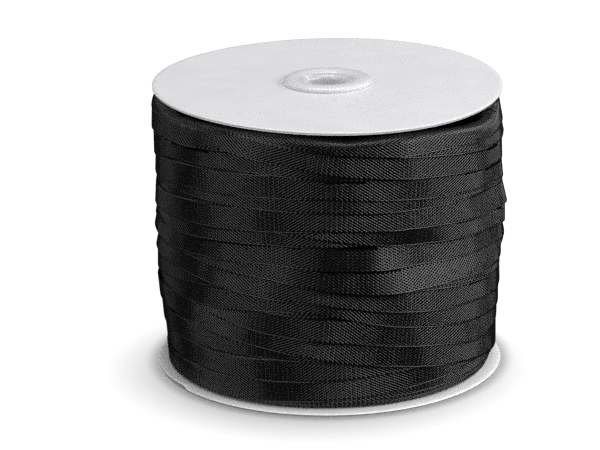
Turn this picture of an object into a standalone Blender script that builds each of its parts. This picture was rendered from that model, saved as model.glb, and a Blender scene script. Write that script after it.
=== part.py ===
"""Roll of crinoline braid wound on a card spool, at real size in metres.

The roll stands upright on its lower flange. The origin is on the roll's axis, at the height of the
surface it stands on. +Z is up and -Y is the front. Azimuths are in degrees round the axis, 0 at the
front and positive towards +X.
"""
import math

import bmesh
import bpy

MM = 0.001
GAP = 0.3 * MM

# Card flanges: two white board discs. The upper one is warped at its rim.
FLANGE_RADIUS = 75.0 * MM
CARD = 1.2 * MM
UPPER_FACE = 124.3 * MM
FLAT_RADIUS = 20.0 * MM
RING_RADII = (40.0 * MM, 58.0 * MM)
RIM_FACETS = 72
RAISED_LEFT = 0.60 * MM
RAISED_BACK = 1.33 * MM
RIM_TWIST = 0.71 * MM
RIM_SADDLE = 0.21 * MM
WARP_POWER = 1.5

# Plastic hub: a tube through the roll, with a domed collar on the upper flange.
BORE_RADIUS = 9.0 * MM
TUBE_RADIUS = 12.0 * MM
COLLAR_RADIUS = 19.2 * MM
COLLAR_RISE = 2.3 * MM
LIP_RADIUS = 10.3 * MM
LIP_DEPTH = 0.6 * MM
THROAT_DEPTH = 2.0 * MM
DOME_STEPS = 8
DOME_START = 0.06
DOME_FLATNESS = 0.6
HUB_FACETS = 48

# Winding: flat braid in sloping, overlapping turns.
WINDING_COLUMNS = 60
CAP_RADII = (55.0 * MM, 35.0 * MM)
TURN_STEP = 1.1 * MM
TURN_CROWN = 0.15 * MM
STEP_HEIGHT = 0.35 * MM
END_FADE = 3.0 * MM
SNAP = 1.0 * MM

# Lower edge of each turn across the front, in mm above the surface, from the top turn down.
# A turn's right end runs on round the back into the left end of the turn below it.
EDGE_AZIMUTHS = (-80, -40, 0, 40, 80)
TURN_EDGES = (
    # left, left middle, front, right middle, right
    (126.0, 120.5, 113.4, 107.3, 102.8),
    (118.0, 113.8, 109.0, 103.2, 98.5),
    (107.4, 111.3, 104.6, 98.8, 94.0),
    (97.0, 103.0, 100.5, 95.0, 90.5),
    (89.0, 92.9, 94.1, 89.7, 86.5),
    (85.0, 87.5, 88.2, 85.5, 82.5),
    (76.5, 78.0, 80.2, 77.5, 75.2),
    (72.5, 72.2, 73.1, 69.8, 66.4),
    (66.5, 65.0, 63.8, 61.5, 59.5),
    (61.5, 60.3, 55.6, 53.7, 54.0),
    (54.0, 52.2, 49.0, 48.6, 47.0),
    (46.5, 46.5, 44.5, 40.5, 36.5),
    (42.0, 40.8, 38.5, 33.0, 28.0),
    (36.5, 36.0, 31.5, 25.5, 21.2),
    (31.5, 30.4, 23.4, 15.3, 10.5),
    (21.7, 22.4, 16.0, 9.5, 6.0),
    (12.1, 12.3, 8.5, 5.5, 3.5),
)

# Outline of the winding, in mm: fullest under the upper flange, drawn in at the foot.
WINDING_OUTLINE = (
    # height, radius at the left, radius at the right
    (0.0, 68.5, 69.0),
    (6.0, 70.6, 71.0),
    (20.0, 71.8, 72.2),
    (27.0, 72.7, 72.0),
    (36.0, 74.5, 73.2),
    (48.0, 74.1, 74.5),
    (56.0, 74.3, 73.0),
    (67.0, 74.5, 74.5),
    (94.0, 75.3, 75.3),
    (108.0, 75.4, 75.2),
    (116.0, 75.2, 74.4),
    (124.3, 74.6, 72.6),
)

# The top turn has slipped down at the right and leaves a hollow under the flange.
HOLLOW_AZIMUTH = 60.0
HOLLOW_HALF_WIDTH = 24.0
HOLLOW_DEPTH = 5.0 * MM
HOLLOW_FLOOR = 116.5 * MM
HOLLOW_BLEND = 3.0 * MM


def smooth_step(value):
    """Ease from 0 to 1 as value goes from 0 to 1."""
    value = min(max(value, 0.0), 1.0)
    return value * value * (3.0 - 2.0 * value)


def table_value(table, key, column):
    """Read a column of a table at a key between its rows, in a straight line from row to row."""
    if key <= table[0][0]:
        return table[0][column]
    for low, high in zip(table, table[1:]):
        if key <= high[0]:
            share = (key - low[0]) / (high[0] - low[0])
            return low[column] + share * (high[column] - low[column])
    return table[-1][column]


def smooth_curve(points, key):
    """Read a smooth curve through (key, value) points, level beyond its two ends."""
    if key <= points[0][0]:
        return points[0][1]
    if key >= points[-1][0]:
        return points[-1][1]
    after = next(i for i, point in enumerate(points) if point[0] > key)
    before = after - 1

    def slope(index):
        first = points[max(index - 1, 0)]
        last = points[min(index + 1, len(points) - 1)]
        return (last[1] - first[1]) / (last[0] - first[0])

    span = points[after][0] - points[before][0]
    t = (key - points[before][0]) / span
    ease = smooth_step(t)
    level = points[before][1] * (1.0 - ease) + points[after][1] * ease
    lean = slope(before) * t * (1.0 - t) ** 2 - slope(after) * t * t * (1.0 - t)
    return level + span * lean


def edge_path():
    """Follow the braid's lower edge down the roll: (degrees wound, height in mm)."""
    points = []
    for turn, heights in enumerate(TURN_EDGES):
        for azimuth, height in zip(EDGE_AZIMUTHS, heights):
            points.append((360.0 * turn + azimuth, height))
        following = TURN_EDGES[turn + 1][0] if turn + 1 < len(TURN_EDGES) else 0.0
        points.append((360.0 * turn + 180.0, (heights[-1] + following) / 2.0))
    points.append((points[-1][0] + 100.0, 0.0))
    return points


def around(azimuth, radius, height):
    """Place a point by its azimuth in degrees, radius and height."""
    angle = math.radians(azimuth)
    return (radius * math.sin(angle), -radius * math.cos(angle), height)


def card_lift(azimuth, radius):
    """How far the warp lifts the upper flange, nothing near the hub and most at the rim."""
    angle = math.radians(azimuth)
    rim = -RAISED_LEFT * math.sin(angle) - RAISED_BACK * math.cos(angle)
    rim -= RIM_TWIST * math.sin(2.0 * angle) + RIM_SADDLE * math.cos(2.0 * angle)
    reach = max(radius - FLAT_RADIUS, 0.0) / (FLANGE_RADIUS - FLAT_RADIUS)
    return rim * reach ** WARP_POWER


def winding_radius(azimuth, height):
    """Outer radius of the roll of braid before the steps between its turns."""
    side = math.sin(math.radians(azimuth))
    left = table_value(WINDING_OUTLINE, height / MM, 1)
    right = table_value(WINDING_OUTLINE, height / MM, 2)
    radius = (left * (1.0 - side) + right * (1.0 + side)) / 2.0 * MM
    near = 1.0 - abs((azimuth - HOLLOW_AZIMUTH) / HOLLOW_HALF_WIDTH)
    above = smooth_step((height - HOLLOW_FLOOR) / HOLLOW_BLEND)
    return radius - HOLLOW_DEPTH * smooth_step(2.0 * near) * above


def make_material(name, colour, roughness):
    """Make a plain material."""
    material = bpy.data.materials.new(name)
    material.use_nodes = True
    shader = material.node_tree.nodes["Principled BSDF"]
    shader.inputs["Base Color"].default_value = (*colour, 1.0)
    shader.inputs["Roughness"].default_value = roughness
    return material


def make_object(name, mesh_data, material, sharp_angle):
    """Turn a finished bmesh into a named object, smooth where its faces meet at a small angle."""
    bmesh.ops.recalc_face_normals(mesh_data, faces=mesh_data.faces)
    mesh = bpy.data.meshes.new(name)
    mesh_data.to_mesh(mesh)
    mesh_data.free()
    mesh.materials.append(material)
    mesh.shade_smooth()
    mesh.set_sharp_from_angle(angle=math.radians(sharp_angle))
    piece = bpy.data.objects.new(name, mesh)
    bpy.context.collection.objects.link(piece)
    return piece


def bridge_rings(mesh_data, rings):
    """Join each ring of points to the next one, and the last to the first, with quads."""
    made = [[mesh_data.verts.new(point) for point in ring] for ring in rings]
    count = len(rings[0])
    for ring, following in zip(made, made[1:] + made[:1]):
        for i in range(count):
            j = (i + 1) % count
            mesh_data.faces.new((ring[i], ring[j], following[j], following[i]))


def turned(name, profile, facets, material, sharp_angle, lift=None):
    """Turn a closed profile of (radius, height) round the axis, with an optional lift."""
    mesh_data = bmesh.new()
    rings = []
    for radius, height in profile:
        ring = []
        for i in range(facets):
            azimuth = 360.0 * i / facets
            rise = lift(azimuth, radius) if lift else 0.0
            ring.append(around(azimuth, radius, height + rise))
        rings.append(ring)
    bridge_rings(mesh_data, rings)
    return make_object(name, mesh_data, material, sharp_angle)


def make_flange(name, lower_face, radii, material, lift=None):
    """A card disc with a round hole for the hub, as rings of points over and under the card."""
    over = [(radius, lower_face + CARD) for radius in radii]
    under = [(radius, lower_face) for radius in reversed(radii)]
    return turned(name, over + under, RIM_FACETS, material, 30.0, lift)


def collar_profile():
    """Domed section of the hub's collar, from its outer foot over the crown into the bore."""
    foot = UPPER_FACE + GAP
    crown = (COLLAR_RADIUS + LIP_RADIUS) / 2.0
    half = (COLLAR_RADIUS - LIP_RADIUS) / 2.0
    rise = COLLAR_RISE - GAP
    points = [(COLLAR_RADIUS, foot)]
    for step in range(DOME_STEPS + 1):
        angle = math.pi * (DOME_START + (1.0 - 2.0 * DOME_START) * step / DOME_STEPS)
        radius = crown + half * math.cos(angle)
        points.append((radius, foot + rise * math.sin(angle) ** DOME_FLATNESS))
    points.append((BORE_RADIUS + GAP, foot - LIP_DEPTH))
    points.append((BORE_RADIUS, foot - THROAT_DEPTH))
    return points


def make_hub(material):
    """A tube through the whole roll whose collar lies on the upper flange."""
    profile = collar_profile()
    profile.append((BORE_RADIUS, GAP))
    profile.append((TUBE_RADIUS, GAP))
    profile.append((TUBE_RADIUS, UPPER_FACE + GAP))
    return turned("hub", profile, HUB_FACETS, material, 40.0)


def winding_column(path, azimuth):
    """Points down the outside of the roll at one azimuth, three for each turn of braid."""
    top = UPPER_FACE - CARD - 2.0 * GAP + card_lift(azimuth, FLANGE_RADIUS)
    foot = CARD + 2.0 * GAP
    column = [(top, 0.0)]
    for turn in range(-1, len(TURN_EDGES) + 1):
        edge = smooth_curve(path, 360.0 * turn + azimuth) * MM
        following = smooth_curve(path, 360.0 * (turn + 1) + azimuth) * MM
        edge = min(max(edge, foot), top)
        following = min(max(following, foot), top)
        column.append((edge, TURN_STEP / 2.0))
        column.append((edge - STEP_HEIGHT, -TURN_STEP / 2.0))
        column.append(((edge + following) / 2.0, TURN_CROWN))
    column.append((foot, 0.0))
    points = []
    for height, step in column:
        if height > top - SNAP:
            height = top
        if height < foot + SNAP:
            height = foot
        fade = smooth_step(min(top - height, height - foot) / END_FADE)
        radius = winding_radius(azimuth, height) + step * fade
        points.append(around(azimuth, radius, height))
    return points


def cap_points(azimuth, lower):
    """Points from the roll's rim in to its bore, on its lower or upper end."""
    points = []
    for radius in (*CAP_RADII, TUBE_RADIUS + GAP):
        if lower:
            height = CARD + GAP
        else:
            height = UPPER_FACE - CARD - 2.0 * GAP + card_lift(azimuth, radius)
        points.append(around(azimuth, radius, height))
    return points


def make_winding(material):
    """One solid of the wound braid, its turns stepped like tiles and sloping round the roll."""
    mesh_data = bmesh.new()
    path = edge_path()
    rows = []
    for i in range(WINDING_COLUMNS + 1):
        azimuth = -180.0 + 360.0 * i / WINDING_COLUMNS
        outside = winding_column(path, azimuth)
        above = cap_points(azimuth, lower=False)
        below = cap_points(azimuth, lower=True)
        loop = list(reversed(above)) + outside + below
        rows.append([mesh_data.verts.new(point) for point in loop])
    for row, following in zip(rows, rows[1:]):
        for j in range(len(row)):
            k = (j + 1) % len(row)
            mesh_data.faces.new((row[j], following[j], following[k], row[k]))
    bmesh.ops.remove_doubles(mesh_data, verts=mesh_data.verts, dist=0.01 * MM)
    bmesh.ops.triangulate(mesh_data, faces=mesh_data.faces)
    return make_object("winding", mesh_data, material, 50.0)


def build():
    """Clear the file and make the four pieces."""
    for item in list(bpy.data.objects):
        bpy.data.objects.remove(item)
    card = make_material("white card", (0.80, 0.80, 0.81), 0.55)
    plastic = make_material("white moulded plastic", (0.83, 0.83, 0.82), 0.25)
    braid = make_material("black monofilament braid", (0.012, 0.012, 0.013), 0.4)
    hole = TUBE_RADIUS + GAP
    make_flange("flange_bottom", 0.0, (hole, FLANGE_RADIUS), card)
    radii = (hole, FLAT_RADIUS, *RING_RADII, FLANGE_RADIUS)
    make_flange("flange_top", UPPER_FACE - CARD, radii, card, card_lift)
    make_hub(plastic)
    make_winding(braid)


build()
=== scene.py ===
"""Dresses the roll of crinoline braid: its woven turns, card flanges and hub, with camera and light.

Lengths are in metres unless a name or comment says mm. Azimuths are in degrees round the roll's
axis, 0 at the front and positive towards +X. Along the braid, degrees go on counting turn by turn.
"""

import math

import bpy
import numpy as np
from mathutils import Matrix, Vector


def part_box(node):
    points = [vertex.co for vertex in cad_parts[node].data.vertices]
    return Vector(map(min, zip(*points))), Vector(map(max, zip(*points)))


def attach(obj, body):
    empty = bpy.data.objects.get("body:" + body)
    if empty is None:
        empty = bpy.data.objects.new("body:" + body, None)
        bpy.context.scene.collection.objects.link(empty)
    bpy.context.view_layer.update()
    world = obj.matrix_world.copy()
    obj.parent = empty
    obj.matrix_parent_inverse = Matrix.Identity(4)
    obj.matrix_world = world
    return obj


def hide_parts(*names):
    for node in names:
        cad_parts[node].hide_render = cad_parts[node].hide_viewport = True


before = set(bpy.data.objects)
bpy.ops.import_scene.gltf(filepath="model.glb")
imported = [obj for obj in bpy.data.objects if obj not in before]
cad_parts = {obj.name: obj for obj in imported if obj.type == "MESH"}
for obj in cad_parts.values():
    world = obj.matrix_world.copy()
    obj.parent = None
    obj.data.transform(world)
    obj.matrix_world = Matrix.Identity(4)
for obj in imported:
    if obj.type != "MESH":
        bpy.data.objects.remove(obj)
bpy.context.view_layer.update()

MM = 0.001
BODY = "root"

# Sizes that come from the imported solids.
FLANGE_LOW, FLANGE_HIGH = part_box("flange_bottom")
HUB_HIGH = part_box("hub")[1]
FLANGE_RADIUS = FLANGE_HIGH.x
CARD = FLANGE_HIGH.z - FLANGE_LOW.z
COLLAR_RADIUS = HUB_HIGH.x
COLLAR_RISE = 2.3 * MM
UPPER_FACE = HUB_HIGH.z - COLLAR_RISE
GAP = 0.3 * MM

# Warp of the upper flange, flat out to the hub's collar and largest at the rim.
FLAT_RADIUS = 20.0 * MM
RAISED_LEFT = 0.60 * MM
RAISED_BACK = 1.33 * MM
RIM_TWIST = 0.71 * MM
RIM_SADDLE = 0.21 * MM
WARP_POWER = 1.5

# Crease at the rim of the lower flange. To the left of it the rim stands up a little.
CREASE_AZIMUTH = -54.5
CREASE_STEP = 3.0
CREASE_REACH = 26.0
CREASE_LIFT = 1.4 * MM
CREASE_DEPTH = 9.0 * MM
CREASE_MARK = 2.2 * MM

# Edges of the card discs, pressed down a little by the die.
LOWER_PRESS = 0.45 * MM
UPPER_PRESS = 0.34 * MM
EDGE_BEND = 0.4
LOWER_RADII = np.array((40, 66, 70, 73)) * MM
UPPER_RADII = np.array((20, 26, 32, 38, 44, 50, 56, 62, 66, 70, 73)) * MM
FLANGE_FACETS = 360
CARD_SHARP = 40.0

# Hub: bore through the roll and rounded lip of its collar.
BORE_RADIUS = 9.0 * MM
TUBE_RADIUS = 12.0 * MM
LIP_RADIUS = 10.3 * MM
THROAT_RISE = 0.2 * MM
THROAT_DEPTH = 2.0 * MM
THROAT_STEPS = 6
DOME_START = 0.06
DOME_FLATNESS = 0.6
DOME_STEPS = 28
BORE_MIDDLE = 60.0 * MM
BORE_FOOT = 1.0 * MM
HUB_FACETS = 192
HUB_SHARP = 50.0

# The braid itself, which wavers a little. Its backing has rounded edges.
BRAID_WIDTH = 10.0 * MM
BRAID_THICKNESS = 0.5 * MM
CLEARANCE = 0.1 * MM
SHEET_STEP = 1.5
EDGE_WOBBLE = 0.12 * MM
EDGE_SEED = 11
FACE_WOBBLE = 0.08 * MM
FACE_SEED = 12
FACE_RATE = 1.7
GROUND_DEPTH = 0.25 * MM
BACKING_EDGE = (
    # across in mm, depth as a share of the thickness
    (0.3, 1.0),
    (0.0, 0.5),
    (0.2, 0.0),
)
BACKING_SHARES = np.linspace(0.15, 0.85, 6)

# Plain braiding: threads cross at about 30 degrees to the length, over one and under one.
THREAD_PITCH = 2.06 * MM
THREADS_PER_TURN = 229
ROW_PITCH = 1.18 * MM
WOVEN_ROWS = 15
FLOAT_LENGTH = math.hypot(THREAD_PITCH, ROW_PITCH)
THREAD_WIDTH = 0.48 * MM
THREAD_SIDE = 0.32 * MM
THREAD_JITTER = 0.007 * MM
FLOAT_STATIONS = (
    # share of the half length, height in mm, swell
    (-1.0, -0.015, 0.95),
    (-0.5, 0.015, 1.0),
    (0.5, 0.015, 1.0),
    (1.0, -0.015, 0.95),
)
SELVEDGE_INSET = 0.35 * MM
SELVEDGE_SHIFT = 0.3 * THREAD_PITCH
SELVEDGE_FLOAT = 1.75 * MM
SELVEDGE_WIDTH = 0.62 * MM
EDGE_SLANT = 0.12

# Grid on which the turns are laid on each other, and how far the laid braid is evened out.
# The step round the roll is in degrees. Spreads, blurs and the batch are counted in grid steps.
LAY_STEP = 2.0
HEIGHT_STEP = 0.5 * MM
BATCH = 45
LEANS = np.linspace(-0.22, 0.22, 23)
LEAN_COST = 2.0 * MM
ACROSS = (np.arange(20) + 0.5) / 20.0 * BRAID_WIDTH
BASE_DEPTH = 1.6 * MM
RADIUS_SPREAD = 1.6
LEAN_SPREAD = 2.0
BLUR_COLUMNS = 5
BLUR_ROWS = 12
WINDINGS = 3
TOP_MARGIN = 1.0 * MM
COVER_MARGIN = 0.3 * MM
COVER_ROWS = 3
CORE_DEPTH = 0.2 * MM
CORE_RINGS = 60

# Outline of the finished winding: fullest under the upper flange, drawn in at the foot and at the
# middle of the right side.
WINDING_OUTLINE = np.array((
    # height, radius at the left, radius at the right, all in mm
    (0.0, 68.5, 69.0),
    (6.0, 70.6, 71.4),
    (20.0, 72.3, 73.4),
    (27.0, 73.1, 73.4),
    (36.0, 74.5, 74.1),
    (48.0, 74.1, 75.0),
    (56.0, 74.3, 70.6),
    (67.0, 74.5, 71.8),
    (80.0, 74.8, 74.0),
    (94.0, 75.3, 75.1),
    (108.0, 75.4, 75.2),
    (116.0, 75.2, 74.4),
    (124.3, 74.6, 72.6),
)) * MM

# Dark gap between the top turn's upper edge and the flange, widest at the right where it has slipped.
TUCK = np.array((
    # azimuth, gap in mm
    (-180.0, 1.5),
    (-90.0, 3.2),
    (-62.0, 4.2),
    (-50.0, 3.2),
    (-36.0, 2.0),
    (-18.0, 1.0),
    (-6.0, 2.2),
    (6.0, 3.2),
    (15.0, 2.6),
    (24.0, 2.0),
    (32.0, 2.6),
    (42.0, 3.6),
    (52.0, 5.2),
    (60.0, 6.6),
    (70.0, 7.2),
    (76.0, 6.0),
    (81.0, 1.2),
    (100.0, 1.0),
    (180.0, 1.5),
))
SHOULDER = 2.4 * MM
SHOULDER_END = 2.3
RECESS = 4.5 * MM

# Places where the lower edge of a turn stands off the turn under it.
LIFTS = (
    # turn, azimuth, half width in degrees, lift at the lower edge in mm
    (6, -3.0, 16.0, 1.3),
    (10, 62.0, 26.0, 0.9),
    (12, 36.0, 52.0, 1.3),
    (13, 10.0, 28.0, 1.2),
    (15, -40.0, 50.0, 1.2),
    (16, 66.0, 20.0, 0.6),
    (17, 60.0, 26.0, 1.0),
    (21, -50.0, 18.0, 1.8),
    (22, 60.0, 26.0, 0.9),
    (23, 60.0, 26.0, 1.1),
)

# Deep gaps below a turn's lower edge, where the threads of earlier turns are left out so the black
# ground shows as painted shade.
GAP_OVERLAP = 0.6 * MM
DEEP_GAPS = (
    # turn, first azimuth, last azimuth, depth in mm
    (6, -14.0, 8.0, 1.0),
    (10, 44.0, 88.0, 0.8),
    (12, -10.0, 34.0, 0.8),
    (13, -12.0, 34.0, 1.1),
    (15, -88.0, 4.0, 0.6),
    (15, -2.0, 36.0, 1.0),
    (17, 44.0, 88.0, 1.2),
    (20, -6.0, 16.0, 1.0),
    (21, -70.0, -34.0, 1.8),
    (22, 44.0, 88.0, 1.2),
    (23, 48.0, 88.0, 1.4),
)

# Lower edge of each turn across the front, in mm above the floor, in the order of winding.
# The braid runs on round the back from a turn's right end to the left end of the next one.
TURN_AZIMUTHS = (-80, -60, -40, -20, 0, 20, 40, 60, 80)
TURNS = (
    (3.0, 3.0, 3.0, 3.0, 3.0, 3.0, 3.5, 4.0, 4.5),
    (2.2, 2.2, 2.4, 2.8, 3.5, 4.8, 5.5, 6.0, 6.2),
    (2.0, 2.0, 2.5, 3.8, 5.5, 7.4, 9.3, 10.6, 9.8),
    (12.1, 12.1, 12.3, 13.0, 14.5, 16.2, 17.5, 18.5, 19.5),
    (21.7, 22.1, 22.4, 23.0, 22.4, 22.0, 21.5, 21.0, 20.5),
    (31.5, 32.6, 30.4, 27.4, 23.4, 19.3, 15.25, 11.3, 8.0),
    (46.0, 42.8, 38.4, 34.5, 32.5, 28.4, 24.6, 20.6, 21.2),
    (44.3, 42.0, 42.4, 44.6, 43.4, 37.2, 32.75, 29.5, 27.2),
    (45.5, 48.4, 51.3, 52.5, 51.0, 48.0, 45.0, 42.0, 40.0),
    (54.0, 53.8, 52.2, 50.0, 47.7, 43.7, 40.5, 38.5, 36.0),
    (63.5, 62.8, 60.8, 59.2, 55.3, 52.1, 49.6, 47.6, 46.5),
    (64.0, 63.2, 61.2, 59.6, 56.0, 53.2, 51.2, 50.3, 49.6),
    (62.3, 62.1, 60.3, 58.7, 55.1, 52.6, 52.7, 54.5, 56.5),
    (62.8, 62.6, 63.9, 65.0, 63.8, 62.6, 61.5, 60.0, 58.5),
    (68.7, 71.2, 74.0, 75.5, 75.0, 73.0, 71.0, 69.5, 68.0),
    (73.4, 70.9, 72.2, 73.4, 73.1, 73.0, 72.0, 71.0, 70.0),
    (80.0, 79.5, 79.3, 79.0, 75.9, 72.0, 69.8, 67.9, 66.4),
    (74.5, 75.9, 77.8, 79.2, 80.2, 78.9, 77.5, 75.2, 75.2),
    (86.5, 88.5, 88.3, 88.6, 88.2, 86.9, 85.9, 85.4, 84.6),
    (88.0, 91.2, 92.9, 93.9, 94.1, 92.0, 89.7, 87.6, 86.0),
    (96.5, 101.8, 103.4, 103.7, 102.0, 101.5, 100.0, 98.0, 96.5),
    (107.4, 109.8, 111.3, 111.5, 108.0, 105.0, 102.0, 100.0, 98.0),
    (116.5, 116.0, 113.2, 109.1, 104.6, 101.4, 98.8, 96.2, 94.0),
    (122.0, 121.2, 120.3, 116.8, 113.4, 110.6, 107.3, 104.8, 102.8),
    (122.0, 121.8, 121.5, 117.5, 113.9, 111.0, 110.0, 108.3, 108.6),
)
PATH_START = -84.0
END_BEND = 280.0
END_AZIMUTH = 330.0
END_RISE = 2.0
END_HEIGHT = 126.0
HIDDEN_END = 4.0
SEAM_AZIMUTH = -80.0

# The layer under the shown turns: an even helix from the foot to the top.
UNDER_FIRST = -180.0
UNDER_START = 1.7
UNDER_PITCH = 9.4
UNDER_TURNS = 13
UNDER_KNOTS = 3

# Camera, fitted to the ellipses of the two flanges.
CAMERA_ELEVATION = 17.48
CAMERA_ROLL = -0.722
CAMERA_DISTANCE = 1.263
CAMERA_AIM = Vector((-12.37, 0.0, 60.364)) * MM
CAMERA_LENS = 174.44

# Softboxes round the roll. All but the top one are kept off the floor.
SIDE_LIGHTS = (
    # name, azimuth, elevation, distance in m, width and height in m, brightness
    ("softbox_right", 68.0, 27.0, 1.1, (0.95, 0.45), 5.5),
    ("softbox_right_back", 118.0, 26.0, 1.1, (0.5, 0.45), 3.0),
    ("softbox_left", -42.0, 26.0, 1.1, (0.75, 0.45), 2.5),
    ("softbox_left_back", -104.0, 26.0, 1.1, (0.5, 0.45), 1.1),
)
TOP_LIGHT = ("softbox_top", 180.0, 84.0, 1.2, (0.9, 0.9), 3.65)
FOOT_LIGHT = ("softbox_foot", 28.0, 40.0, 1.1, (0.9, 0.6), 3.4)
LIGHT_TARGET = Vector((0.0, 0.0, 60.0)) * MM
SURROUND = 0.03

# The white floor glows evenly far off, less near the roll, and hardly at all by the flange's rim, as a
# painted shadow.
FLOOR_HALF = 4.0
GLOW_CENTRE = (-9.0 * MM, -12.0 * MM, 0.0)
GLOW_NEAR = 60.0 * MM
GLOW_FAR = 108.0 * MM
GLOW_POWER = 0.6
PAINTED_SHADOW_NEAR = 72.0 * MM
PAINTED_SHADOW_FAR = 82.0 * MM


def smooth_step(value):
    """Ease from 0 to 1 as value goes from 0 to 1."""
    value = np.clip(value, 0.0, 1.0)
    return value * value * (3.0 - 2.0 * value)


def smooth_curve(keys, values, at):
    """Read a smooth curve through the given keys and values."""
    slopes = np.gradient(values, keys)
    after = np.clip(np.searchsorted(keys, at), 1, len(keys) - 1)
    before = after - 1
    span = keys[after] - keys[before]
    t = np.clip((at - keys[before]) / span, 0.0, 1.0)
    ease = smooth_step(t)
    level = values[before] * (1.0 - ease) + values[after] * ease
    lean = slopes[before] * t * (1.0 - t) ** 2 - slopes[after] * t * t * (1.0 - t)
    return level + span * lean


def facing(azimuth):
    """The same azimuth from -180 to 180 degrees."""
    return (azimuth + 180.0) % 360.0 - 180.0


def card_lift(azimuth, radius):
    """How far the warp lifts the upper flange."""
    angle = np.radians(azimuth)
    rim = -RAISED_LEFT * np.sin(angle) - RAISED_BACK * np.cos(angle)
    rim = rim - RIM_TWIST * np.sin(2.0 * angle) - RIM_SADDLE * np.cos(2.0 * angle)
    reach = np.maximum(radius - FLAT_RADIUS, 0.0) / (FLANGE_RADIUS - FLAT_RADIUS)
    return rim * reach ** WARP_POWER


def crease_lift(azimuth, radius):
    """How far the creased rim of the lower flange stands up."""
    away = CREASE_AZIMUTH - facing(azimuth)
    rise = smooth_step(away / CREASE_STEP) * (1.0 - smooth_step(away / CREASE_REACH))
    reach = np.maximum(radius - FLANGE_RADIUS + CREASE_DEPTH, 0.0) / CREASE_DEPTH
    return CREASE_LIFT * rise * reach ** 2


def under_flange(azimuth):
    """Height just under the rim of the warped flange."""
    return UPPER_FACE - CARD - GAP / 2.0 + card_lift(azimuth, FLANGE_RADIUS)


def tuck_gap(azimuth):
    """Gap between the top turn and the flange."""
    return np.interp(facing(azimuth), TUCK[:, 0], TUCK[:, 1]) * MM


def shown_top(azimuth):
    """Height up to which the shown turns reach."""
    return under_flange(azimuth) - tuck_gap(azimuth)


def laid_top(azimuth):
    """Height up to which turns are laid straight, before their top bends in under the flange."""
    return shown_top(azimuth) + (SHOULDER_END - 1.0) * SHOULDER


def winding_radius(azimuth, height):
    """Outer radius of the finished winding."""
    side = np.sin(np.radians(azimuth))
    left = np.interp(height, WINDING_OUTLINE[:, 0], WINDING_OUTLINE[:, 1])
    right = np.interp(height, WINDING_OUTLINE[:, 0], WINDING_OUTLINE[:, 2])
    return (left * (1.0 - side) + right * (1.0 + side)) / 2.0


def cylinder_points(azimuth, radius, height):
    """Points from arrays of azimuths in degrees, radii and heights."""
    angle = np.radians(azimuth)
    return np.stack((radius * np.sin(angle), -radius * np.cos(angle), height), axis=-1)


def shown_path():
    """Knots of the shown braid's lower edge: degrees wound and heights."""
    keys = [PATH_START - 20.0]
    heights = [TURNS[0][0]]
    for turn, row in enumerate(TURNS):
        keys += [360.0 * turn + azimuth for azimuth in TURN_AZIMUTHS]
        heights += row
        following = TURNS[turn + 1][0] if turn + 1 < len(TURNS) else END_HEIGHT
        keys.append(360.0 * turn + 180.0)
        heights.append((row[-1] + following) / 2.0)
    last = 360.0 * (len(TURNS) - 1)
    keys += [last + END_BEND, last + END_AZIMUTH]
    heights += [END_HEIGHT - END_RISE, END_HEIGHT]
    return np.array(keys), np.array(heights) * MM


def under_path():
    """Knots of the layer under the shown turns."""
    keys = np.array((UNDER_FIRST, 360.0 * UNDER_TURNS))
    heights = UNDER_START + UNDER_PITCH * np.maximum(keys, 0.0) / 360.0
    keys = np.insert(keys, 1, 0.0)
    heights = np.insert(heights, 1, UNDER_START)
    return keys, heights * MM


def is_shown(path):
    """True for the shown braid, whose path has more knots than that of the layer under it."""
    return len(path[0]) > UNDER_KNOTS


def lay_grid():
    """Azimuths and heights of the grid that holds the surface laid so far."""
    azimuths = np.arange(0.0, 360.0, LAY_STEP)
    azimuths = np.where(azimuths > 180.0, azimuths - 360.0, azimuths)
    heights = np.arange(0.0, UPPER_FACE + HEIGHT_STEP, HEIGHT_STEP)
    return azimuths, heights


def rest_on(under, open_top):
    """Radius at the middle of the width and lean of a flat strip that rests on the surface under it."""
    middle = ACROSS - BRAID_WIDTH / 2.0
    reach = under[:, :, None] - LEANS[None, None, :] * middle[None, :, None]
    reach = np.where(open_top[:, :, None], -1.0, reach).max(axis=1)
    best = np.argmin(reach + LEAN_COST * np.abs(LEANS)[None, :], axis=1)
    radius = reach[np.arange(len(best)), best]
    return radius, LEANS[best]


def write_strip(surface, columns, edge, radius, lean, tops):
    """Add a stretch of braid to the surface laid so far."""
    heights = lay_grid()[1]
    across = heights[None, :] - edge[:, None]
    outside = radius[:, None] + lean[:, None] * (across - BRAID_WIDTH / 2.0)
    outside = outside + BRAID_THICKNESS + CLEARANCE
    inside = (across >= 0.0) & (across <= BRAID_WIDTH) & (heights[None, :] <= tops[columns][:, None])
    surface[columns] = np.where(inside, np.maximum(surface[columns], outside), surface[columns])


def evened(values, spread, widest):
    """Even out values along the braid, which stays stretched over what it crosses."""
    count = 2 * widest + 1
    padded = np.pad(values, widest, mode="edge")
    if widest:
        values = np.max([padded[i:i + len(values)] for i in range(count)], axis=0)
    reach = int(3 * spread)
    weights = np.exp(-0.5 * (np.arange(-reach, reach + 1) / spread) ** 2)
    padded = np.pad(values, reach, mode="edge")
    return np.convolve(padded, weights / weights.sum(), mode="valid")


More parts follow.
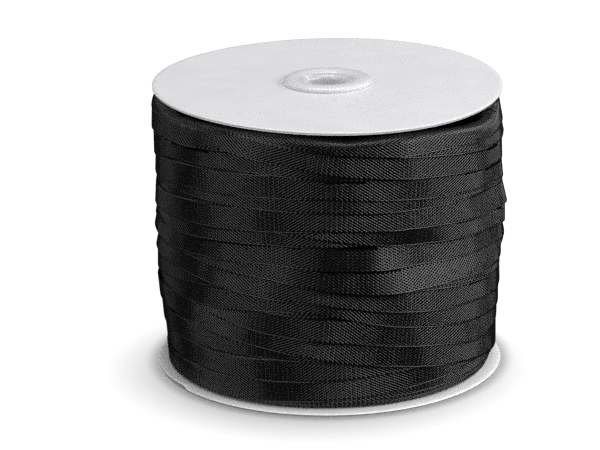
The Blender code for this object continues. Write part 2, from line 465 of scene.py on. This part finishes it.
def lay_braid(surface, path, start, end):
    """Lay the braid turn by turn on the surface. Gives its radius and lean all along."""
    azimuths, heights = lay_grid()
    tops = laid_top(azimuths)
    degrees = np.arange(start, end, LAY_STEP)
    edge = smooth_curve(*path, degrees)
    radius = np.zeros(len(degrees))
    lean = np.zeros(len(degrees))
    work = surface.copy()
    for first in range(0, len(degrees), BATCH):
        part = slice(first, first + BATCH)
        columns = np.round(degrees[part] / LAY_STEP).astype(int) % len(azimuths)
        points = edge[part][:, None] + ACROSS[None, :]
        rows = np.clip(np.round(points / HEIGHT_STEP).astype(int), 0, len(heights) - 1)
        under = work[columns[:, None], rows]
        open_top = points > np.maximum(tops[columns], edge[part] + TOP_MARGIN)[:, None]
        radius[part], lean[part] = rest_on(under, open_top)
        write_strip(work, columns, edge[part], radius[part], lean[part], tops)
    radius = evened(radius, RADIUS_SPREAD, 1)
    lean = evened(lean, LEAN_SPREAD, 0)
    for first in range(0, len(degrees), BATCH):
        part = slice(first, first + BATCH)
        columns = np.round(degrees[part] / LAY_STEP).astype(int) % len(azimuths)
        write_strip(surface, columns, edge[part], radius[part], lean[part], tops)
    return degrees, radius, lean


def blurred(grid, columns, rows):
    """Blur a grid round the roll, where it closes, and up and down."""
    total = sum(np.roll(grid, step, axis=0) for step in range(-columns, columns + 1))
    grid = total / (2 * columns + 1)
    padded = np.pad(grid, ((0, 0), (rows, rows)), mode="edge")
    total = sum(padded[:, i:i + grid.shape[1]] for i in range(2 * rows + 1))
    return total / (2 * rows + 1)


def wind_roll():
    """Lay both layers, then move their base and lay them again, until the outline comes right."""
    azimuths, heights = lay_grid()
    wanted = winding_radius(azimuths[:, None], heights[None, :])
    base = wanted - BASE_DEPTH
    shown_end = 360.0 * (len(TURNS) - 1) + END_AZIMUTH
    for attempt in range(WINDINGS):
        surface = base.copy()
        under = lay_braid(surface, under_path(), UNDER_FIRST, 360.0 * UNDER_TURNS)
        shown = lay_braid(surface, shown_path(), PATH_START, shown_end)
        if attempt < WINDINGS - 1:
            below = heights[None, :] < shown_top(azimuths)[:, None] - TOP_MARGIN
            excess = np.where(below, surface - wanted, 0.0)
            base = base - blurred(excess, BLUR_COLUMNS, BLUR_ROWS)
    return base, surface, under, shown


def covering(surface):
    """Least radius of the finished surface close round each point of the grid."""
    least = surface.copy()
    for step in (-1, 1):
        least = np.minimum(least, np.roll(surface, step, axis=0))
    padded = np.pad(least, ((0, 0), (COVER_ROWS, COVER_ROWS)), mode="edge")
    count = 2 * COVER_ROWS + 1
    return np.min([padded[:, i:i + least.shape[1]] for i in range(count)], axis=0)


def slow_wobble(at, seed):
    """Unevenness along the braid, from -1 to 1, in waves of 6 to 40 degrees."""
    random = np.random.default_rng(seed)
    waves = 5
    total = 0.0 * at
    for _ in range(waves):
        length = random.uniform(6.0, 40.0)
        phase = random.uniform(0.0, 2.0 * np.pi)
        total = total + np.sin(2.0 * np.pi * at / length + phase) / waves
    return total


def lifted(at, across):
    """How far places along and across the shown braid stand off what lies under them."""
    total = 0.0 * (at + across)
    for turn, azimuth, half_width, lift in LIFTS:
        near = smooth_step(1.0 - np.abs(at - azimuth - 360.0 * turn) / half_width)
        total = total + lift * MM * near * (1.0 - across / BRAID_WIDTH)
    return total


def on_braid(path, laid, at, across):
    """Azimuth, radius and height of places given along and across the face of the laid braid."""
    degrees, radius, lean = laid
    edge = smooth_curve(*path, at)
    ahead = 0.5
    slope = (smooth_curve(*path, at + ahead) - edge) / math.radians(ahead) / FLANGE_RADIUS
    cosine = 1.0 / np.sqrt(1.0 + slope * slope)
    height = edge + across * cosine + EDGE_WOBBLE * slow_wobble(at, EDGE_SEED)
    azimuth = at - np.degrees(across * slope * cosine / FLANGE_RADIUS)
    tilt = np.interp(at, degrees, lean) * (across - BRAID_WIDTH / 2.0)
    face = np.interp(at, degrees, radius) + tilt + BRAID_THICKNESS
    face = face + FACE_WOBBLE * slow_wobble(at * FACE_RATE, FACE_SEED)
    if is_shown(path):
        face = face + lifted(at, across)
    return np.stack((azimuth, face, height), axis=-1)


def placed(places, raised):
    """Points raised above places on the braid's face, bent in over the shoulder at the top."""
    azimuth, radius, height = places[..., 0], places[..., 1], places[..., 2]
    start = shown_top(azimuth) - SHOULDER
    beyond = np.maximum(height - start, 0.0) / SHOULDER
    bend = np.minimum(beyond, math.pi / 2.0)
    radius = radius + raised * np.cos(bend) - SHOULDER * (1.0 - np.cos(bend) + beyond - bend)
    height = np.minimum(height, start) + (SHOULDER + raised) * np.sin(bend)
    return cylinder_points(azimuth, radius, height)


def uncovered(places, cover):
    """True where places of azimuth, radius and height are neither under later turns nor cut off."""
    rows = np.round(places[..., 2] / HEIGHT_STEP).astype(int)
    rows = np.clip(rows, 0, cover.shape[1] - 1)
    columns = np.round(places[..., 0] / LAY_STEP).astype(int) % cover.shape[0]
    below_top = places[..., 2] < laid_top(places[..., 0])
    return (places[..., 1] > cover[columns, rows] - COVER_MARGIN) & below_top


def in_deep_gap(path, places, turns):
    """True for places of earlier turns in a deep gap below the lower edge of a later one."""
    azimuth = facing(places[..., 0])
    inside = np.zeros(azimuth.shape, dtype=bool)
    if not is_shown(path):
        return inside
    for turn, first, last, depth in DEEP_GAPS:
        share = np.clip((azimuth - first) / (last - first), 0.0, 1.0)
        below = smooth_curve(*path, 360.0 * turn + azimuth) - places[..., 2]
        open_gap = depth * MM * np.sin(math.pi * share)
        beside = (share > 0.0) & (share < 1.0) & (turns < turn)
        inside |= beside & (below > -GAP_OVERLAP) & (below < open_gap)
    return inside


def mesh_object(name, points, faces, material):
    """Make a smooth mesh object from arrays of points and faces."""
    mesh = bpy.data.meshes.new(name)
    mesh.from_pydata(points, [], faces)
    mesh.materials.append(material)
    mesh.shade_smooth()
    piece = bpy.data.objects.new(name, mesh)
    bpy.context.collection.objects.link(piece)
    return piece


def dress(piece, node):
    """Let a finished piece ride on the roll in place of a CAD node."""
    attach(piece, BODY)
    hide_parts(node)


def make_backing(name, path, laid, cover, start, end, material):
    """The flat ground of a stretch of braid, with rounded edges, as seen between its threads."""
    at = np.arange(start, end + SHEET_STEP, SHEET_STEP)
    edge = [(across * MM, share * BRAID_THICKNESS) for across, share in BACKING_EDGE]
    section = edge + [(share * BRAID_WIDTH, 0.0) for share in BACKING_SHARES]
    section += [(BRAID_WIDTH - across, depth) for across, depth in reversed(edge)]
    places = np.array([on_braid(path, laid, at, across) for across, depth in section])
    depths = np.array([depth for across, depth in section])[:, None]
    shown = uncovered(places, cover)
    keep = shown[:-1, :-1] | shown[1:, :-1] | shown[:-1, 1:] | shown[1:, 1:]
    number = np.arange(shown.size).reshape(shown.shape)
    low, high = number[:-1], number[1:]
    quads = np.stack((low[:, :-1], low[:, 1:], high[:, 1:], high[:, :-1]), axis=-1)[keep]
    used, faces = np.unique(quads, return_inverse=True)
    points = placed(places, -GROUND_DEPTH - depths).reshape(-1, 3)[used]
    piece = mesh_object(name, points, faces.reshape(-1, 4), material)
    dress(piece, "winding")


def float_shape(length, width):
    """Points (along, aside, raised) and triangles of a thread from one dip to the next."""
    points = []
    for share, height, swell in FLOAT_STATIONS:
        along = share * length / 2.0
        ridge = height * MM
        points += [(along, -width / 2.0 * swell, ridge - THREAD_SIDE)]
        points += [(along, 0.0, ridge)]
        points += [(along, width / 2.0 * swell, ridge - THREAD_SIDE)]
    faces = []
    for first in range(0, len(points) - 3, 3):
        left, top, right = first, first + 1, first + 2
        faces += [(left, left + 3, top + 3), (left, top + 3, top)]
        faces += [(top, top + 3, right + 3), (top, right + 3, right)]
    return np.array(points), np.array(faces)


def float_rows():
    """Rows of floats across the braid: (height across, shift along, slant, length, width)."""
    angle = math.atan2(ROW_PITCH, THREAD_PITCH)
    rows = []
    middle = (WOVEN_ROWS - 1) / 2.0
    for row in range(WOVEN_ROWS):
        across = BRAID_WIDTH / 2.0 + (row - middle) * ROW_PITCH / 2.0
        slant = -angle if row % 2 == 0 else angle
        shift = 0.0 if row % 2 == 0 else THREAD_PITCH / 2.0
        rows.append((across, shift, slant, FLOAT_LENGTH, THREAD_WIDTH))
    far_side = BRAID_WIDTH - SELVEDGE_INSET
    selvedge = (SELVEDGE_FLOAT, SELVEDGE_WIDTH)
    rows.append((SELVEDGE_INSET, SELVEDGE_SHIFT, EDGE_SLANT, *selvedge))
    rows.append((far_side, SELVEDGE_SHIFT, -EDGE_SLANT, *selvedge))
    return rows


def shown_floats(path, laid, cover, at, across):
    """Those of the given places along one row of floats where the float can be seen."""
    centre = on_braid(path, laid, at, across + 0.0 * at)
    turns = np.round(at / 360.0)
    return at[uncovered(centre, cover) & ~in_deep_gap(path, centre, turns)]


def float_points(path, laid, at, row, jitter):
    """Points of all the floats of one row, each a little higher or lower by its own jitter."""
    across, _, slant, length, width = row
    points = float_shape(length, width)[0]
    along = points[:, 0] * math.cos(slant) - points[:, 1] * math.sin(slant)
    aside = points[:, 0] * math.sin(slant) + points[:, 1] * math.cos(slant)
    rise = points[:, 2][None, :] + jitter[:, None]
    place = at[:, None] + np.degrees(along / FLANGE_RADIUS)[None, :]
    height = across + aside[None, :] + 0.0 * place
    return placed(on_braid(path, laid, place, height), rise).reshape(-1, 3)


def make_threads(name, path, laid, cover, start, end, material):
    """The woven threads of a stretch of braid, float by float, where no later turn covers them."""
    step = 360.0 / THREADS_PER_TURN
    count = np.arange(math.ceil(start / step), math.ceil(end / step))
    random = np.random.default_rng(len(count))
    all_points = []
    all_faces = []
    total = 0
    for row in float_rows():
        across, shift, _, length, width = row
        at = count * step + math.degrees(shift / FLANGE_RADIUS)
        at = shown_floats(path, laid, cover, at, across)
        if not len(at):
            continue
        jitter = THREAD_JITTER * random.standard_normal(len(at))
        all_points.append(float_points(path, laid, at, row, jitter))
        points, faces = float_shape(length, width)
        numbers = total + len(points) * np.arange(len(at))[:, None, None] + faces[None]
        all_faces.append(numbers.reshape(-1, 3))
        total += len(points) * len(at)
    piece = mesh_object(name, np.concatenate(all_points), np.concatenate(all_faces), material)
    dress(piece, "winding")


def hex_colour(code):
    """Linear colour from an sRGB hex value."""
    channels = [int(code[i:i + 2], 16) / 255.0 for i in (1, 3, 5)]
    linear = [c / 12.92 if c <= 0.04045 else ((c + 0.055) / 1.055) ** 2.4 for c in channels]
    return (*linear, 1.0)


def add_node(tree, kind, settings=None, links=None):
    """Add a node, set its properties and sockets, and link its inputs to outputs."""
    node = tree.nodes.new(kind)
    for key, value in (settings or {}).items():
        if isinstance(key, str) and hasattr(node, key):
            setattr(node, key, value)
        else:
            node.inputs[key].default_value = value
    for key, source in (links or {}).items():
        tree.links.new(source, node.inputs[key])
    return node


def new_material(name, settings):
    """A material with its principled shader set on its own sockets."""
    material = bpy.data.materials.new(name)
    material.use_nodes = True
    shader = material.node_tree.nodes["Principled BSDF"]
    for key, value in settings.items():
        shader.inputs[key].default_value = value
    return material, material.node_tree, shader


def braided_nylon():
    """Black nylon monofilament, braided flat: glossy thread backs over near-black gaps."""
    material, tree, shader = new_material("braided_black_nylon", {
        "Base Color": hex_colour("#070708"),
        "IOR": 1.55,
        "Specular IOR Level": 0.95,
    })
    place = add_node(tree, "ShaderNodeTexCoord")
    patch = add_node(tree, "ShaderNodeTexNoise", {"Scale": 90.0, "Detail": 3.0},
                     {"Vector": place.outputs["Object"]})
    rough = add_node(tree, "ShaderNodeMapRange", {"To Min": 0.18, "To Max": 0.28},
                     {"Value": patch.outputs["Fac"]})
    tree.links.new(rough.outputs[0], shader.inputs["Roughness"])
    return material


def painted_shade_ground():
    """The black ground between the threads, nearly black and matt as painted shade, because light
    hardly gets into it. The braid's black is its own colour.
    """
    return new_material("black_braid_ground_painted_shade", {
        "Base Color": hex_colour("#010101"),
        "Roughness": 0.9,
        "IOR": 1.3,
        "Specular IOR Level": 0.03,
    })[0]


def coated_board():
    """White coated greyboard, die cut: a smooth clay coating with a faint paper formation."""
    material, tree, shader = new_material("coated_white_board", {"Roughness": 0.42, "IOR": 1.5})
    place = add_node(tree, "ShaderNodeTexCoord")
    cloud = add_node(tree, "ShaderNodeTexNoise", {
        "Scale": 60.0, "Detail": 3.0, "Roughness": 0.55,
    }, {"Vector": place.outputs["Object"]})
    ramp = add_node(tree, "ShaderNodeValToRGB", {}, {"Fac": cloud.outputs["Fac"]})
    ramp.color_ramp.elements[0].position = 0.35
    ramp.color_ramp.elements[0].color = hex_colour("#e7e7eb")
    ramp.color_ramp.elements[1].position = 0.65
    ramp.color_ramp.elements[1].color = hex_colour("#ececef")
    tree.links.new(ramp.outputs["Color"], shader.inputs["Base Color"])
    fibre = add_node(tree, "ShaderNodeTexNoise", {
        "Scale": 1500.0, "Detail": 2.0, "Roughness": 0.6,
    }, {"Vector": place.outputs["Object"]})
    bump = add_node(tree, "ShaderNodeBump", {
        "Strength": 0.15, "Distance": 0.03 * MM,
    }, {"Height": fibre.outputs["Fac"]})
    tree.links.new(bump.outputs["Normal"], shader.inputs["Normal"])
    return material


def cut_board(name, dark, light):
    """Die-cut edge of white-lined greyboard: thin horizontal plies of grey and off-white pulp."""
    material, tree, shader = new_material(name, {"Roughness": 0.8, "IOR": 1.45})
    place = add_node(tree, "ShaderNodeTexCoord")
    plies = add_node(tree, "ShaderNodeMapping", {"Scale": (60.0, 60.0, 4000.0)},
                     {"Vector": place.outputs["Object"]})
    streak = add_node(tree, "ShaderNodeTexNoise", {"Scale": 1.0, "Detail": 4.0},
                      {"Vector": plies.outputs[0]})
    ramp = add_node(tree, "ShaderNodeValToRGB", {}, {"Fac": streak.outputs["Fac"]})
    ramp.color_ramp.elements[0].position = 0.3
    ramp.color_ramp.elements[0].color = hex_colour(dark)
    ramp.color_ramp.elements[1].position = 0.7
    ramp.color_ramp.elements[1].color = hex_colour(light)
    crease = cylinder_points(np.array(CREASE_AZIMUTH), FLANGE_RADIUS, CARD)
    away = add_node(tree, "ShaderNodeVectorMath", {
        "operation": "DISTANCE", 1: tuple(float(value) for value in crease),
    }, {0: place.outputs["Object"]})
    bare = add_node(tree, "ShaderNodeMapRange", {
        "From Min": 0.0, "From Max": CREASE_MARK, "To Min": 1.0, "To Max": 0.0,
    }, {"Value": away.outputs["Value"]})
    pulp = add_node(tree, "ShaderNodeMix", {
        "data_type": "RGBA", 7: hex_colour("#8a7355"),
    }, {0: bare.outputs[0], 6: ramp.outputs["Color"]})
    tree.links.new(pulp.outputs[2], shader.inputs["Base Color"])
    bump = add_node(tree, "ShaderNodeBump", {"Strength": 0.4, "Distance": 0.05 * MM},
                    {"Height": streak.outputs["Fac"]})
    tree.links.new(bump.outputs["Normal"], shader.inputs["Normal"])
    return material


def moulded_polystyrene():
    """White injection-moulded polystyrene: glossy, slightly milky, with faint flow marks.

    The left of the bore's lip is painted a little greyer, as painted shade, because the light from the
    right whitens it.
    """
    material, tree, shader = new_material("moulded_white_polystyrene", {
        "IOR": 1.59,
        "Subsurface Weight": 0.12,
        "Subsurface Radius": (1.0, 1.0, 1.0),
        "Subsurface Scale": 1.5 * MM,
    })
    place = add_node(tree, "ShaderNodeTexCoord")
    flow = add_node(tree, "ShaderNodeTexNoise", {"Scale": 220.0, "Detail": 2.0},
                    {"Vector": place.outputs["Object"]})
    parts = add_node(tree, "ShaderNodeSeparateXYZ", {}, {0: place.outputs["Object"]})
    flat = add_node(tree, "ShaderNodeCombineXYZ", {}, {0: parts.outputs[0], 1: parts.outputs[1]})
    radius = add_node(tree, "ShaderNodeVectorMath", {"operation": "LENGTH"}, {0: flat.outputs[0]})
    inside = add_node(tree, "ShaderNodeMapRange", {
        "From Min": 12.5 * MM, "From Max": 10.5 * MM,
    }, {"Value": radius.outputs["Value"]})
    left = add_node(tree, "ShaderNodeMapRange", {
        "From Min": 4.0 * MM, "From Max": -5.0 * MM,
    }, {"Value": parts.outputs[0]})
    both = add_node(tree, "ShaderNodeMath", {"operation": "MULTIPLY"},
                    {0: inside.outputs[0], 1: left.outputs[0]})
    # Painted shade: towards the left of the bore's lip the white is mixed with grey.
    white = add_node(tree, "ShaderNodeMix", {
        "data_type": "RGBA", 6: hex_colour("#e9e9eb"), 7: hex_colour("#cecfd0"),
    }, {0: both.outputs[0]})
    tree.links.new(white.outputs[2], shader.inputs["Base Color"])
    rough = add_node(tree, "ShaderNodeMapRange", {"To Min": 0.14, "To Max": 0.26},
                     {"Value": flow.outputs["Fac"]})
    tree.links.new(rough.outputs[0], shader.inputs["Roughness"])
    bump = add_node(tree, "ShaderNodeBump", {"Strength": 0.1, "Distance": 0.05 * MM},
                    {"Height": flow.outputs["Fac"]})
    tree.links.new(bump.outputs["Normal"], shader.inputs["Normal"])
    return material


def turned_faces(rings, facets):
    """Quads that join rings of points, each ring to the next one and the last to the first."""
    number = np.arange(rings * facets).reshape(rings, facets)
    following = np.roll(number, -1, axis=0)
    across = np.roll(number, -1, axis=1), np.roll(following, -1, axis=1)
    return np.stack((number, across[0], across[1], following), axis=-1).reshape(-1, 4)


def turned(name, profile, facets, material, lift=None):
    """Turn a closed profile of (radius, height) round the axis, with an optional lift."""
    azimuth = 360.0 * np.arange(facets) / facets
    rings = []
    for radius, height in profile:
        rise = lift(azimuth, radius) if lift else 0.0 * azimuth
        rings.append(cylinder_points(azimuth, radius + 0.0 * azimuth, height + rise))
    faces = turned_faces(len(profile), facets)
    return mesh_object(name, np.concatenate(rings), faces, material)


def make_flange(node, lower_face, radii, press, materials, lift):
    """A die-cut board disc with pressed edges, its rim and hole bare, in place of its CAD node."""
    face, cut = materials
    hole = TUBE_RADIUS + GAP
    rim = FLANGE_RADIUS
    over = lower_face + CARD
    profile = [(hole, over)]
    profile += [(radius, over) for radius in radii]
    bend = EDGE_BEND * press
    profile += [(rim - press, over), (rim - bend, over - bend), (rim, over - press)]
    profile += [(rim, over - CARD / 2.0), (rim, lower_face + press), (rim - press, lower_face)]
    profile += [(radius, lower_face) for radius in reversed(radii)]
    profile += [(hole, lower_face)]
    piece = turned(node + "_board", profile, FLANGE_FACETS, face, lift)
    piece.data.materials.append(cut)
    # The cut faces are the two round the middle of the rim, and the wall of the hole.
    marks = np.zeros((len(profile), FLANGE_FACETS), dtype=np.int32)
    first_cut = len(radii) + 3
    marks[first_cut:first_cut + 2] = 1
    marks[-1] = 1
    piece.data.polygons.foreach_set("material_index", marks.ravel())
    piece.data.set_sharp_from_angle(angle=math.radians(CARD_SHARP))
    dress(piece, node)
    return piece


def collar_profile():
    """Domed section of the hub's collar, from its outer foot over the crown into the bore."""
    foot = UPPER_FACE + GAP
    crown = (COLLAR_RADIUS + LIP_RADIUS) / 2.0
    half = (COLLAR_RADIUS - LIP_RADIUS) / 2.0
    rise = COLLAR_RISE - GAP
    points = [(COLLAR_RADIUS, foot - GAP / 2.0)]
    for step in range(DOME_STEPS + 1):
        angle = math.pi * (DOME_START + (1.0 - 2.0 * DOME_START) * step / DOME_STEPS)
        radius = crown + half * math.cos(angle)
        points.append((radius, foot + rise * math.sin(angle) ** DOME_FLATNESS))
    for step in range(1, THROAT_STEPS + 1):
        share = step / THROAT_STEPS
        radius = LIP_RADIUS - (LIP_RADIUS - BORE_RADIUS) * math.sin(share * math.pi / 2.0)
        drop = THROAT_DEPTH * (1.0 - math.cos(share * math.pi / 2.0))
        points.append((radius, foot + THROAT_RISE - drop))
    return points


def make_hub(material):
    """The moulded tube with its domed collar, in place of its CAD node."""
    profile = collar_profile()
    profile += [(BORE_RADIUS, BORE_MIDDLE), (BORE_RADIUS, BORE_FOOT), (BORE_RADIUS + GAP, GAP)]
    profile += [(TUBE_RADIUS, GAP), (TUBE_RADIUS, UPPER_FACE + GAP / 2.0)]
    piece = turned("hub_moulding", profile, HUB_FACETS, material)
    piece.data.set_sharp_from_angle(angle=math.radians(HUB_SHARP))
    dress(piece, "hub")


def make_core(base, material):
    """Dark body of wound braid under the modelled turns."""
    azimuths, heights = lay_grid()
    foot = CARD + GAP
    inner = TUBE_RADIUS + GAP + 0.0 * azimuths
    rings = [cylinder_points(azimuths, inner, foot + 0.0 * azimuths)]
    ledge = shown_top(azimuths) - SHOULDER
    for share in np.linspace(0.0, 1.0, CORE_RINGS):
        height = foot + (ledge - foot) * share
        row = np.clip(np.round(height / HEIGHT_STEP).astype(int), 0, len(heights) - 1)
        radius = base[np.arange(len(azimuths)), row] - CORE_DEPTH
        rings.append(cylinder_points(azimuths, radius, height))
    recessed = radius - RECESS
    rings.append(cylinder_points(azimuths, recessed, ledge))
    rings.append(cylinder_points(azimuths, recessed, under_flange(azimuths)))
    rings.append(cylinder_points(azimuths, inner, UPPER_FACE - CARD - GAP + 0.0 * azimuths))
    faces = turned_faces(len(rings), len(azimuths))
    piece = mesh_object("braid_core", np.concatenate(rings), faces, material)
    dress(piece, "winding")


def make_camera():
    """Camera at the photograph's place, a long lens looking slightly down."""
    elevation = math.radians(CAMERA_ELEVATION)
    roll = math.radians(CAMERA_ROLL)
    back = Vector((0.0, -math.cos(elevation), math.sin(elevation)))
    right = Vector((1.0, 0.0, 0.0))
    up = back.cross(right)
    across = right * math.cos(roll) + up * math.sin(roll)
    upward = up * math.cos(roll) - right * math.sin(roll)
    data = bpy.data.cameras.new("camera")
    data.lens = CAMERA_LENS
    data.sensor_width = 36.0
    data.clip_start = 0.05
    data.clip_end = 20.0
    camera = bpy.data.objects.new("camera", data)
    turn = Matrix((across, upward, back)).transposed().to_4x4()
    camera.matrix_world = Matrix.Translation(CAMERA_AIM + back * CAMERA_DISTANCE) @ turn
    bpy.context.collection.objects.link(camera)
    bpy.context.scene.camera = camera


def make_softbox(name, azimuth, elevation, distance, size, brightness, receivers=None):
    """A rectangular studio light that faces the roll, as bright as given from any distance."""
    a, e = math.radians(azimuth), math.radians(elevation)
    way = Vector((math.sin(a) * math.cos(e), -math.cos(a) * math.cos(e), math.sin(e)))
    data = bpy.data.lights.new(name, "AREA")
    data.shape = "RECTANGLE"
    data.size, data.size_y = size
    data.energy = brightness * math.pi * size[0] * size[1]
    light = bpy.data.objects.new(name, data)
    light.location = LIGHT_TARGET + way * distance
    light.rotation_mode = "QUATERNION"
    light.rotation_quaternion = way.to_track_quat("Z", "Y")
    bpy.context.collection.objects.link(light)
    if receivers:
        light.light_linking.receiver_collection = receivers


def spared_from_light(piece):
    """A collection that keeps side lights off one piece, as screens would in a studio."""
    spared = bpy.data.collections.new("spared_from_side_light")
    spared.objects.link(piece)
    spared.collection_objects[0].light_linking.link_state = "EXCLUDE"
    return spared


def light_foot(flange):
    """A low front light that reaches the lower flange alone, as a flagged spotlight would."""
    foot = bpy.data.collections.new("lit_foot")
    foot.objects.link(flange)
    make_softbox(*FOOT_LIGHT, foot)


def white_sweep():
    """Painted white floor, matt, with the glow of a lit studio sweep, dimmed by the roll as a painted
    shadow.
    """
    material, tree, shader = new_material("white_sweep", {
        "Base Color": hex_colour("#f2f2f2"),
        "Roughness": 0.9,
        "Specular IOR Level": 0.1,
        "Emission Color": (1.0, 1.0, 1.0, 1.0),
    })
    place = add_node(tree, "ShaderNodeTexCoord")
    # Painted shadow: the glow fades towards a centre a little left of and in front of the roll's axis.
    away = add_node(tree, "ShaderNodeVectorMath", {
        "operation": "DISTANCE", 1: GLOW_CENTRE,
    }, {0: place.outputs["Object"]})
    share = add_node(tree, "ShaderNodeMapRange", {
        "From Min": GLOW_NEAR, "From Max": GLOW_FAR,
    }, {"Value": away.outputs["Value"]})
    rise = add_node(tree, "ShaderNodeMath", {"operation": "POWER", 1: GLOW_POWER},
                    {0: share.outputs[0]})
    glow = add_node(tree, "ShaderNodeMapRange", {"To Min": 0.29, "To Max": 0.8},
                    {"Value": rise.outputs[0]})
    # Painted contact shadow: the glow drops close round the flange's rim.
    reach = add_node(tree, "ShaderNodeVectorMath", {"operation": "LENGTH"},
                     {0: place.outputs["Object"]})
    painted_contact_shadow = add_node(tree, "ShaderNodeMapRange", {
        "interpolation_type": "SMOOTHSTEP",
        "From Min": PAINTED_SHADOW_NEAR, "From Max": PAINTED_SHADOW_FAR, "To Min": 0.1, "To Max": 1.0,
    }, {"Value": reach.outputs["Value"]})
    glow_with_painted_shadow = add_node(tree, "ShaderNodeMath", {"operation": "MULTIPLY"},
                      {0: glow.outputs[0], 1: painted_contact_shadow.outputs[0]})
    tree.links.new(glow_with_painted_shadow.outputs[0], shader.inputs["Emission Strength"])
    return material


def make_floor():
    """A flat white floor. Its glow doesn't show in the gloss of the roll."""
    half = FLOOR_HALF
    corners = [(-half, -half, 0.0), (half, -half, 0.0), (half, half, 0.0), (-half, half, 0.0)]
    floor = mesh_object("floor", corners, [(0, 1, 2, 3)], white_sweep())
    floor.visible_glossy = False
    return floor


def make_studio():
    """White floor, softboxes and a soft surround."""
    scene = bpy.context.scene
    scene.view_settings.view_transform = "Standard"
    # Smoothing the noise away would smooth the weave away with it.
    scene.cycles.use_denoising = False
    spared = spared_from_light(make_floor())
    for light in SIDE_LIGHTS:
        make_softbox(*light, spared)
    make_softbox(*TOP_LIGHT)
    world = bpy.data.worlds.new("studio_surround")
    scene.world = world
    world.use_nodes = True
    background = world.node_tree.nodes["Background"]
    background.inputs["Color"].default_value = (1.0, 1.0, 1.0, 1.0)
    background.inputs["Strength"].default_value = SURROUND


def make_winding():
    """Both layers of braid round their dark core, the shown one in four stretches of threads."""
    nylon = braided_nylon()
    # Painted shade: the backings and the core take this near-black matt ground, as the shade between
    # and under the threads.
    ground = painted_shade_ground()
    base, surface, under, shown = wind_roll()
    make_core(base, ground)
    cover = covering(surface)
    under_end = 360.0 * UNDER_TURNS
    layer = (under_path(), under, cover)
    make_backing("under_backing", *layer, UNDER_FIRST, under_end, ground)
    make_threads("under_threads", *layer, UNDER_FIRST, under_end, nylon)
    last = 360.0 * (len(TURNS) - 1) + END_AZIMUTH - HIDDEN_END
    layer = (shown_path(), shown, cover)
    make_backing("braid_backing", *layer, PATH_START, last, ground)
    stretches = (
        # name, first turn, end turn
        ("threads_foot", 0, 7),
        ("threads_lower", 7, 13),
        ("threads_middle", 13, 19),
        ("threads_upper", 19, len(TURNS)),
    )
    for name, first, end in stretches:
        start = 360.0 * first + SEAM_AZIMUTH if first else PATH_START
        finish = 360.0 * end + SEAM_AZIMUTH if end < len(TURNS) else last
        make_threads(name, *layer, start, finish, nylon)


def make_flanges():
    """Both card discs. The lower one's cut edge is given darker greys, as painted shade."""
    coated = coated_board()
    # Painted shade: the lower flange's cut edge is darker than the upper one's.
    lower = (coated, cut_board("greyboard_edge_painted_shade", "#505052", "#7a7a7c"))
    upper = (coated, cut_board("cut_greyboard_edge", "#86868a", "#b8b8ba"))
    flange = make_flange("flange_bottom", 0.0, LOWER_RADII, LOWER_PRESS, lower, crease_lift)
    light_foot(flange)
    make_flange("flange_top", UPPER_FACE - CARD, UPPER_RADII, UPPER_PRESS, upper, card_lift)


make_camera()
make_studio()
make_winding()
make_flanges()
make_hub(moulded_polystyrene())
